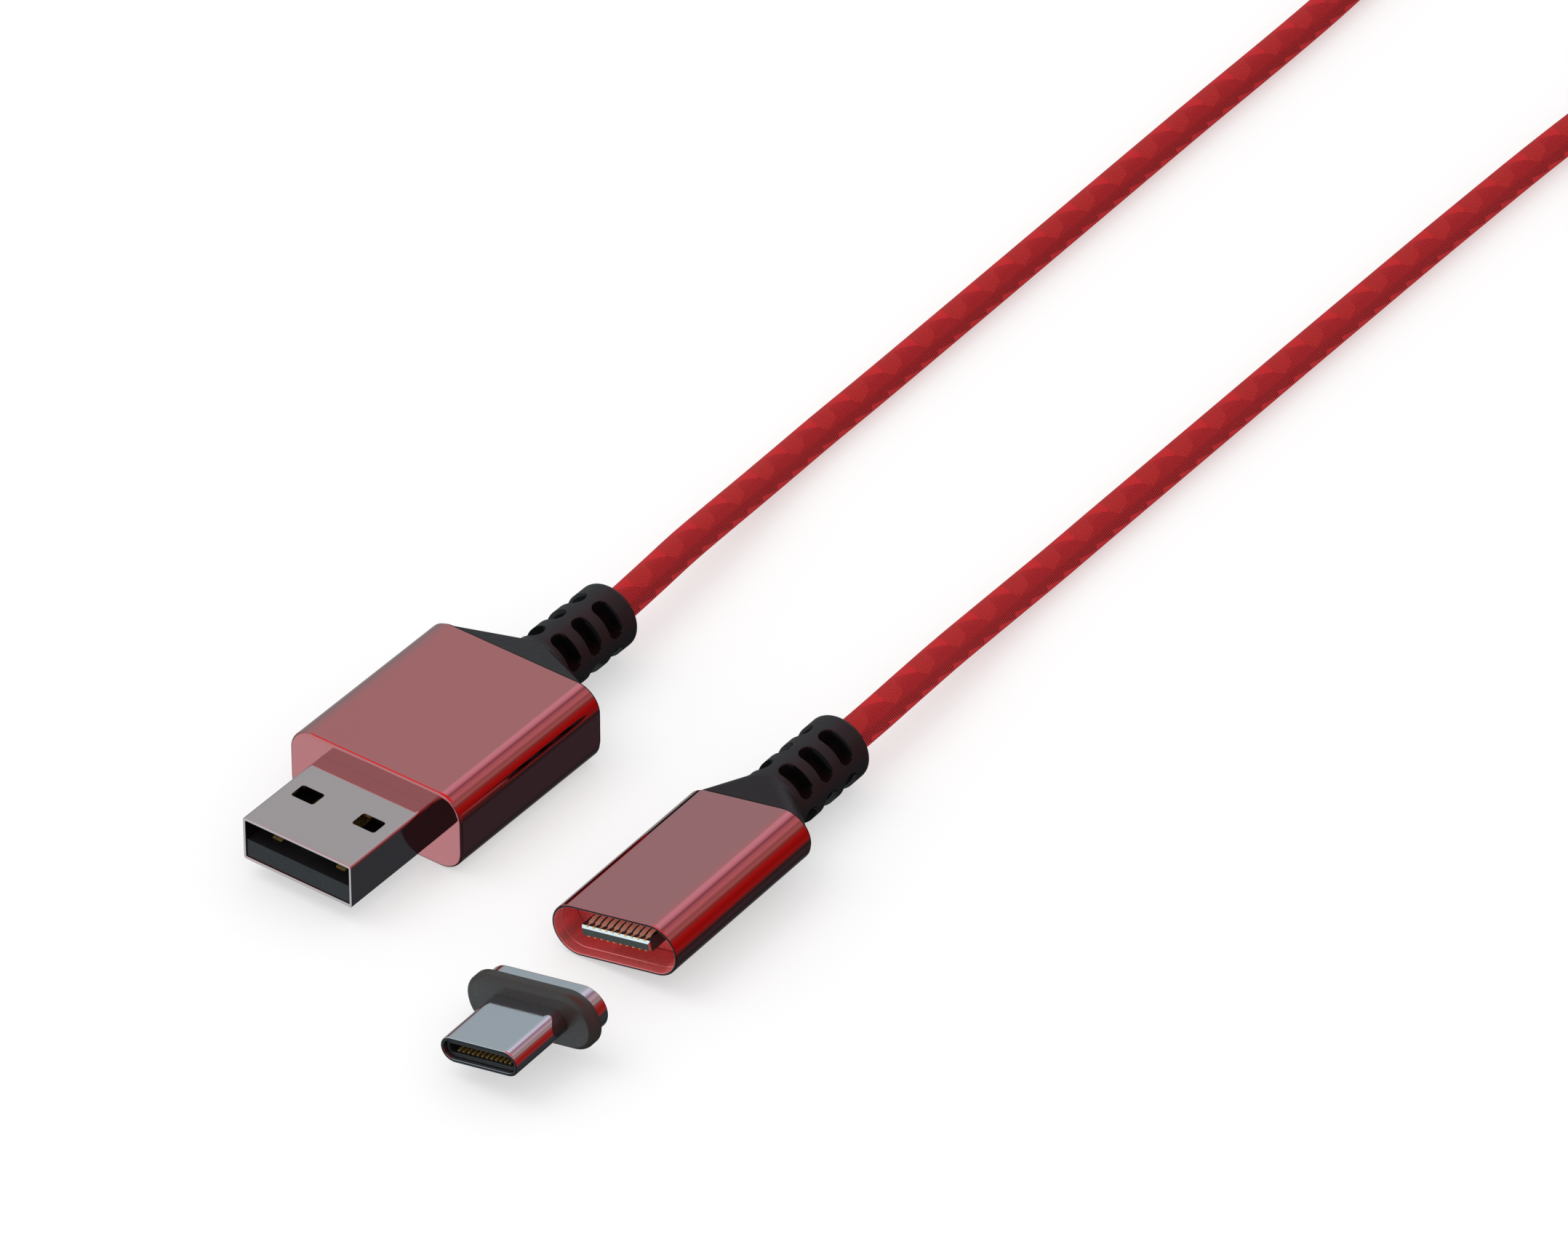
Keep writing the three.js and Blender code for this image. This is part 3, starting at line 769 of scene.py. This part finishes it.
def dock_plug():
    place = DOCK_PLACE
    d = DOCK

    def outline(inset):
        return stadium(d["w"] - 2 * inset, d["h"] - 2 * inset)

    lip = d["wall"] - DOCK_STEP["height"]
    outer_edge, inner_edge = d["rim"]
    housing = loft(
        "dock_housing_fine",
        [
            at(d["length"] - d["back_edge"], outline(0)),
            *fillet(outline, 0, outer_edge, 1),
            *fillet(outline, 0, inner_edge, 1, first_inset=lip, inwards=False),
            at(DOCK_STEP["depth"], outline(lip)),
            at(DOCK_STEP["depth"] + 0.03, outline(d["wall"])),
            at(d["length"], outline(d["wall"])),
            at(d["length"], outline(d["back_edge"])),
        ],
        closed=True,
    )
    painted(housing, RED_METAL, RIM_STEEL, INNER_RED_PAINTED_LIGHT)
    paint_faces(housing, 1, lambda c, n: n.y < -0.8 and c.y < 0.05)
    # The sleeve's inside faces take the paler red, painted light
    paint_faces(housing, 2, lambda c, n: c.y > 0.01 and n.x * c.x + n.z * c.z < 0)
    finished(housing, place, "cable", "red_metal", "dock_housing")

    t = TONGUE
    c = t["chamfer"]
    tongue = loft(
        "dock_tongue_fine",
        [
            at(t["front"], rounded_rect(t["w"] - c, t["h"] - 2 * c, 0.02, 2)),
            at(t["front"] + c, rounded_rect(t["w"], t["h"], 0.02, 2)),
            at(t["back"], rounded_rect(t["w"], t["h"], 0.02, 2)),
        ],
    )
    painted(tongue, TONGUE_PLASTIC, EDGE_STEEL)
    paint_faces(tongue, 1, lambda centre, n: -0.95 < n.y < -0.2)
    finished(tongue, place, "cable", "black_plastic", "dock_tongue")

    top = t["h"] / 2 + 0.02
    tip_y = t["front"] + c
    for row, side in (("top", 1), ("bottom", -1)):
        for i in range(DOCK_CONTACT["count"]):
            x = (i - (DOCK_CONTACT["count"] - 1) / 2) * DOCK_CONTACT["pitch"]
            neck, wide = DOCK_CONTACT["neck"], DOCK_CONTACT["w"]
            path = [
                (tip_y - 0.1, top - 0.05, neck),
                (tip_y - 0.02, top + 0.03, neck),
                (tip_y + 0.12, top + 0.03, neck),
                (tip_y + 0.2, top + 0.005, neck),
                (tip_y + 0.42, top + 0.005, neck),
                (tip_y + 0.5, top + 0.02, wide),
                (tip_y + 1.1, top + DOCK_CONTACT["bow"], wide),
                (tip_y + 1.7, top + DOCK_CONTACT["bow"], wide),
                (tip_y + 2.7, top + DOCK_CONTACT["rise"], wide),
                (DOCK_CONTACT["back"], top + DOCK_CONTACT["rise"], wide),
            ]
            name = f"dock_contact_{row}_{i + 1}"
            contact = strip(f"{name}_fine", path, DOCK_CONTACT["thick"], x, side)
            painted(contact, COPPER, GOLD)
            paint_faces(contact, 1, lambda centre, n: centre.y < tip_y + 0.3)
            finished(contact, place, "cable", "copper", name)

    h = d["h"]
    cavity = (d["w"] - 2 * d["wall"], h - 2 * d["wall"])
    rubber = boot(
        "dock_boot_fine",
        (d["w"], h, h / 2 - 0.01),
        (*cavity, cavity[1] / 2 - 0.01),
        d["length"],
    )
    finished(rubber, place, "cable", "boot_rubber", "dock_boot", sharp=SHARP_ON_RUBBER, weighted=False)


# ---------------------------------------------------------------- USB-C tip


def pins(spec, front, back, height, thick):
    """Two rows of contacts on the facing walls of a slot, height from the middle."""
    made = []
    for side in (1, -1):
        for i in range(spec["count"]):
            x = (i - (spec["count"] - 1) / 2) * spec["pitch"]
            z = side * (height - thick / 2)
            pin = block("pin", spec["w"], thick, front, back, x, z)
            made.append(painted(bevelled(pin, 0.02, 1), GOLD))
    return made


def usbc_tip():
    place = DOCK_PLACE
    s = TIP_SHELL

    def outline(inset):
        return stadium(s["w"] - 2 * inset, s["h"] - 2 * inset)

    shell = loft(
        "tip_shell_fine",
        sleeve_rings(outline, s["nose"], s["back"], s["wall"], *s["rim"]),
        closed=True,
    )
    painted(shell, TIP_STEEL, RIM_STEEL)
    paint_faces(shell, 1, lambda c, n: n.y < -0.8 and c.y < s["nose"] + 0.1)
    finished(shell, place, "tip", "tip_steel", "tip_shell")

    p = TIP_INSULATOR
    inner = (s["w"] - 2 * s["wall"] - 2 * FIT, s["h"] - 2 * s["wall"] - 2 * FIT)
    insulator = loft("tip_insulator_fine", [at(y, stadium(*inner, 8)) for y in (p["front"], p["back"])])
    slot = loft(
        "slot",
        [at(y, rounded_rect(p["slot_w"], p["slot_h"], 0.25, 4)) for y in (p["front"] - 1, p["slot_back"])],
    )
    cut(insulator, slot)
    painted(insulator, BLACK_PLASTIC)
    joined(insulator, *pins(TIP_PINS, TIP_PINS["front"], p["slot_back"], p["slot_h"] / 2 + 0.02, 0.1))
    finished(insulator, place, "tip", "black_plastic", "tip_insulator")

    c = COLLAR

    def collar_outline(inset):
        return stadium(c["w"] - 2 * inset, c["h"] - 2 * inset)

    ease = c["ease"]
    hole = stadium(s["w"] + HOLE_GAP, s["h"] + HOLE_GAP)
    collar = loft(
        "tip_collar_fine",
        [
            at(c["back"], hole),
            at(c["back"], collar_outline(ease)),
            at(c["back"] - ease, collar_outline(0)),
            at(c["front"] + c["chamfer"] + ease, collar_outline(0)),
            at(c["front"] + c["chamfer"] - ease / 2, collar_outline(ease / 2)),
            at(c["front"] + ease / 2, collar_outline(c["chamfer"] - ease / 2)),
            at(c["front"], collar_outline(c["chamfer"] + ease)),
            at(c["front"], hole),
        ],
        closed=True,
    )
    painted(collar, COLLAR_PLASTIC)
    finished(collar, place, "tip", "collar_plastic", "tip_collar", sharp=SHARP_ON_COLLAR)

    def plate_outline(inset):
        return stadium(PLATE["w"] - 2 * inset, PLATE["h"] - 2 * inset)

    plate_hole = stadium(SOCKET["w"] + 0.1, SOCKET["h"] + 0.1)
    plate = loft(
        "tip_plate_fine",
        [
            at(PLATE["front"], plate_hole),
            at(PLATE["front"], plate_outline(0)),
            *fillet(plate_outline, PLATE["back"], PLATE["edge"], -1),
            at(PLATE["back"], plate_hole),
        ],
        closed=True,
    )
    painted(plate, TIP_STEEL)
    finished(plate, place, "tip", "tip_steel", "tip_plate")

    socket_hole = stadium(SOCKET["slot_w"], SOCKET["slot_h"])
    body = stadium(SOCKET["w"], SOCKET["h"])
    socket = loft(
        "tip_socket_fine",
        [
            at(PLATE["front"], socket_hole),
            at(PLATE["front"], body),
            at(PLATE["back"], body),
            at(PLATE["back"], stadium(SOCKET["slot_w"] + 0.2, SOCKET["slot_h"] + 0.2)),
            at(PLATE["back"] - 0.1, socket_hole),
        ],
        closed=True,
    )
    painted(socket, BLACK_PLASTIC)
    joined(
        socket,
        *pins(SOCKET_PINS, PLATE["front"] + 0.1, PLATE["back"] - 0.3, SOCKET["slot_h"] / 2 + 0.02, 0.08),
    )
    finished(socket, place, "tip", "black_plastic", "tip_socket")


# ---------------------------------------------------------------- cord


def coil_points():
    """The coil's centreline: it winds in to the middle low down, climbs, and winds out on top."""
    sweep = COIL["turns"] * 2 * math.pi
    count = round(COIL["turns"] * COIL_STEPS)
    points = []
    for k in range(2 * count + 1):
        turned = k / count * sweep
        inwards = min(turned, 2 * sweep - turned) / sweep
        r = COIL["outer"] + (COIL["inner"] - COIL["outer"]) * inwards
        climbed = turned - sweep + COIL_CLIMB * COIL_CLIMB_EARLY
        climb = float(smooth(climbed / COIL_CLIMB))
        a = math.pi - turned
        points.append(
            (
                COIL["x"] + r * math.cos(a),
                COIL["y"] + r * math.sin(a),
                COIL["low"] + (COIL["high"] - COIL["low"]) * climb,
            )
        )
    return points


def smooth_line(points, spacing):
    """Points a spacing apart on a centripetal Catmull-Rom curve through the given ones."""
    p = np.array(points, float)
    p = np.vstack([2 * p[0] - p[1], p, 2 * p[-1] - p[-2]])
    line = []
    for k in range(1, len(p) - 2):
        p0, p1, p2, p3 = p[k - 1 : k + 3]
        t1 = np.linalg.norm(p1 - p0) ** 0.5
        t2 = t1 + np.linalg.norm(p2 - p1) ** 0.5
        t3 = t2 + np.linalg.norm(p3 - p2) ** 0.5
        t = np.linspace(t1, t2, 40, endpoint=False)[:, None]
        a1 = (t1 - t) / t1 * p0 + t / t1 * p1
        a2 = (t2 - t) / (t2 - t1) * p1 + (t - t1) / (t2 - t1) * p2
        a3 = (t3 - t) / (t3 - t2) * p2 + (t - t2) / (t3 - t2) * p3
        b1 = (t2 - t) / t2 * a1 + t / t2 * a2
        b2 = (t3 - t) / (t3 - t1) * a2 + (t - t1) / (t3 - t1) * a3
        line.append((t2 - t) / (t2 - t1) * b1 + (t - t1) / (t2 - t1) * b2)
    line = np.vstack([*line, p[-2:-1]])
    along = np.concatenate([[0], np.cumsum(np.linalg.norm(np.diff(line, axis=0), axis=1))])
    even = np.linspace(0, along[-1], round(along[-1] / spacing) + 1)
    return np.stack([np.interp(even, along, line[:, i]) for i in range(3)], axis=1), even


def under_tie(line):
    """The index nearest the cord's middle where it passes under the tie."""
    close = 0.3
    beside = np.abs(line[:, 0] - COIL["x"]) < close
    near = np.flatnonzero(beside & (line[:, 1] >= COIL["y"]))
    return near[np.argmin(np.abs(near - len(line) / 2))]


def relief(u, w):
    """How far the braid's surface stands out, from 0 to 1, at u periods and w half turns."""
    u, w = u % 1.0, w % 1.0
    patch = smooth(1.6 - 4.2 * np.hypot((u - 0.13 + 0.5) % 1.0 - 0.5, w - 0.28))
    ribs = smooth((w - 0.45) / 0.12) * smooth((0.86 - w) / 0.08)
    return 0.55 + 0.45 * patch - 0.55 * ribs


def braided_cord():
    columns = CORD_MESH["columns"]
    route = [*USB_ROUTE, *coil_points(), *DOCK_ROUTE[::-1]]
    line, along = smooth_line(route, CORD_MESH["spacing"])
    tangent = np.gradient(line, axis=0)
    tangent /= np.linalg.norm(tangent, axis=1)[:, None]
    side = np.cross(tangent, (0, 0, 1))
    side /= np.linalg.norm(side, axis=1)[:, None]
    upward = np.cross(side, tangent)
    turned_at = under_tie(line)
    angle = np.arange(columns) / columns * 2 * math.pi

    def pattern(k, a, flipped):
        """Periods along and half turns round. Both ends show the weave the same way round, so
        it is turned about under the tie."""
        if flipped:
            periods = (along[-1] - along[k]) / WEAVE_PERIOD + WEAVE_PHASE["dock"]
            return periods, (a - (math.pi - WEAVE_START)) / math.pi
        return along[k] / WEAVE_PERIOD + WEAVE_PHASE["usb"], (WEAVE_START - a) / math.pi

    verts = []
    for k, centre in enumerate(line):
        u, w = pattern(k, angle, k > turned_at)
        r = CORD_R - CORD_MESH["relief"] * (1 - relief(u, w))
        verts.append(
            centre
            + side[k] * (r * np.cos(angle))[:, None]
            + upward[k] * (r * np.sin(angle))[:, None]
        )
    faces, uvs = [], []
    for k in range(len(line) - 1):
        for i in range(columns):
            j = (i + 1) % columns
            a, b = k * columns, (k + 1) * columns
            faces.append((a + i, a + j, b + j, b + i))
            a0, a1 = angle[i], angle[i] + 2 * math.pi / columns
            corners = ((k, a0), (k, a1), (k + 1, a1), (k + 1, a0))
            uvs.extend(pattern(kk, aa, k >= turned_at) for kk, aa in corners)
    faces.append(tuple(range(columns))[::-1])
    faces.append(tuple(range((len(line) - 1) * columns, len(line) * columns)))
    uvs.extend([(0, 0.9)] * (2 * columns))
    mesh = bpy.data.meshes.new("cord")
    mesh.from_pydata(np.vstack(verts).tolist(), [], faces)
    mesh.uv_layers.new(name="weave").data.foreach_set("uv", np.array(uvs, np.float32).ravel())
    cord = linked("cord", mesh)
    painted(cord, BRAID)
    finished(
        cord, Matrix.Identity(4), "cable", "braid", "cord_usb_run", "cord_coil", "cord_dock_run",
        sharp=SHARP_ON_CORD, weighted=False,
    )  # fmt: skip
    return cord, line[::2] * MM


def cord_tie():
    """A band of tape round the coil."""
    r = CORD_R + TIE["clearance"]
    near = COIL["inner"] - r
    far = COIL["outer"] + r
    low, high = COIL["low"] - r, COIL["high"] + r
    w, h, thick = far - near, high - low, TIE["thick"]

    def outline(grow):
        return rounded_rect(w + 2 * grow, h + 2 * grow, TIE["r"] + grow, 8)

    half, soft = TIE["half_width"], TIE["soft"]
    band = loft(
        "cord_tie_fine",
        [
            at(-half, outline(0)),
            at(-half, outline(thick - soft)),
            at(-half + soft, outline(thick)),
            at(half - soft, outline(thick)),
            at(half, outline(thick - soft)),
            at(half, outline(0)),
        ],
        closed=True,
    )
    painted(band, TIE_TAPE)
    turn = Matrix.Rotation(-math.pi / 2, 4, "Z")
    centre = Matrix.Translation((COIL["x"], COIL["y"] + (near + far) / 2, (low + high) / 2))
    return finished(band, centre @ turn, "cable", "tie", "cord_tie")


cord, cord_path = braided_cord()
tie = cord_tie()
usb_plug()
dock_plug()
usbc_tip()

# CAD nodes that show as they are, most of them inside the housings
KEPT = {
    BLACK_PLASTIC: ["usb_inner_mould"],
    # The base in the connector takes the same paler red, painted light
    INNER_RED_PAINTED_LIGHT: ["dock_base"],
    CRIMP_STEEL: ["usb_crimp", "dock_crimp"],
    MAGNET: ["dock_magnet_left", "dock_magnet_right"],
    BOARD: ["dock_pcb", "tip_pcb"],
    WIRE: [f"{end}_wire_{i}" for end in ("usb", "dock") for i in range(1, 5)],
}
for finish, names in KEPT.items():
    for name in names:
        mesh = frame["nodes"][name].data
        mesh.materials.clear()
        mesh.materials.append(finish)

# ---------------------------------------------------------------- camera, floor and light

CAMERA_AZIMUTH = math.radians(36.5)
CAMERA_ELEVATION = math.radians(36.8)
CAMERA_DISTANCE = 1.0526
CAMERA_TARGET = Vector((0.0137, 0.0315, 0.004))
CAMERA_LENS = 271.3
CAMERA_SENSOR = 36
FLOOR_SIZE = 6.0
SOFTBOX_DISTANCE = 0.9


def towards(azimuth, elevation):
    """The direction from the object to somebody at that azimuth and elevation."""
    return Vector(
        (
            math.sin(azimuth) * math.cos(elevation),
            -math.cos(azimuth) * math.cos(elevation),
            math.sin(elevation),
        )
    )


def camera():
    data = bpy.data.cameras.new("camera")
    data.lens = CAMERA_LENS
    data.sensor_width = CAMERA_SENSOR
    data.clip_start = 0.01
    data.clip_end = 10
    made = linked("camera", data)
    back = towards(CAMERA_AZIMUTH, CAMERA_ELEVATION)
    made.location = CAMERA_TARGET + back * CAMERA_DISTANCE
    made.rotation_euler = (-back).to_track_quat("-Z", "Y").to_euler()
    bpy.context.scene.camera = made


def floor():
    mesh = bpy.data.meshes.new("floor")
    corners = [(x * FLOOR_SIZE, y * FLOOR_SIZE, 0) for x, y in ((-1, -1), (1, -1), (1, 1), (-1, 1))]
    mesh.from_pydata(corners, [], [(0, 1, 2, 3)])
    made = linked("floor", mesh)
    # Paper lit from behind, so that shadows on it stay pale
    paper, _, _ = material(
        "floor_paper", Base_Color=rgb(0.5, 0.5, 0.5), Roughness=1.0,
        Emission_Color=rgb(1.0, 1.0, 1.0), Emission_Strength=0.5,
    )  # fmt: skip
    painted(made, paper)
    made.visible_glossy = False


# What polished metal mirrors, by the angle round the Y axis from +X up to +Z: degrees and colour
STUDIO = [
    (-180, (0.34, 0.37, 0.38)),
    (-160, (0.30, 0.33, 0.34)),
    (-138, (0.36, 0.40, 0.40)),
    (-100, (0.05, 0.05, 0.05)),
    (-75, (0.025, 0.03, 0.034)),
    (-50, (0.05, 0.06, 0.07)),
    (-34, (0.03, 0.035, 0.04)),
    (-24, (0.12, 0.05, 0.05)),
    (-15, (0.42, 0.03, 0.03)),
    (0, (0.36, 0.015, 0.015)),
    (14, (0.46, 0.02, 0.02)),
    (30, (0.46, 0.06, 0.05)),
    (34, (0.24, 0.14, 0.13)),
    (44, (0.54, 0.36, 0.36)),
    (55, (0.40, 0.28, 0.28)),
    (66, (0.68, 0.48, 0.52)),
    (78, (0.58, 0.40, 0.46)),
    (90, (0.30, 0.22, 0.27)),
    (95, (0.62, 0.52, 0.66)),
    (106, (0.90, 0.84, 1.04)),
    (119, (0.82, 0.90, 1.02)),
    (124, (0.60, 0.68, 0.70)),
    (150, (0.48, 0.60, 0.64)),
    (168, (0.42, 0.48, 0.50)),
    (180, (0.34, 0.37, 0.38)),
]


FRONT_LIGHT = (0.78, 0.94, 1.0)
RED_CARD = (1.1, 0.04, 0.04)
ROOM = (0.9, 0.9, 0.9)  # what every ray but a mirrored one finds past the floor


def world():
    made = bpy.data.worlds.new("studio")
    made.use_nodes = True
    bpy.context.scene.world = made
    tree = made.node_tree
    tree.nodes.clear()
    nodes = Nodes(tree)
    direction = nodes.node(
        "ShaderNodeSeparateXYZ",
        {"Vector": nodes.node("ShaderNodeTexCoord").outputs["Generated"]},
    )
    x, y, z = (direction.outputs[k] for k in "XYZ")
    round_y = nodes.math("ARCTAN2", z, x)
    turn = nodes.add(nodes.mul(round_y, 1 / (2 * math.pi)), 0.5)
    ramp = nodes.node("ShaderNodeValToRGB", {"Fac": turn})
    stops = ramp.color_ramp.elements
    while len(stops) > 1:
        stops.remove(stops[-1])
    for k, (degrees, colour) in enumerate(STUDIO):
        stop = stops[0] if k == 0 else stops.new((degrees + 180) / 360)
        stop.position = (degrees + 180) / 360
        stop.color = rgb(*colour)
    # A large soft light low in front, which the faces that look along -Y mirror
    front = nodes.mul(nodes.step(y, -0.25, -0.5), nodes.step(x, 0.25, -0.2))
    mirrored = nodes.mix(front, ramp.outputs["Color"], rgb(*FRONT_LIGHT))
    # A red card overhead, which only the rounded edges across the plugs mirror
    mirrored = nodes.mix(nodes.step(z, 0.78, 0.84), mirrored, rgb(*RED_CARD))
    glossy = nodes.node("ShaderNodeLightPath").outputs["Is Glossy Ray"]
    colour = nodes.mix(glossy, rgb(*ROOM), mirrored)
    background = nodes.node("ShaderNodeBackground", {"Color": colour, "Strength": 1.0})
    nodes.node("ShaderNodeOutputWorld", {"Surface": background.outputs[0]})


def softbox(name, azimuth, elevation, size, watts):
    data = bpy.data.lights.new(name, "AREA")
    data.shape = "DISK"
    data.size = size
    data.energy = watts
    made = linked(name, data)
    back = towards(math.radians(azimuth), math.radians(elevation))
    made.location = CAMERA_TARGET + back * SOFTBOX_DISTANCE
    made.rotation_euler = (-back).to_track_quat("-Z", "Y").to_euler()
    made.visible_glossy = False


camera()
floor()
world()
softbox("key", -60, 60, 0.7, 1.6)
bpy.context.scene.view_settings.view_transform = "Standard"
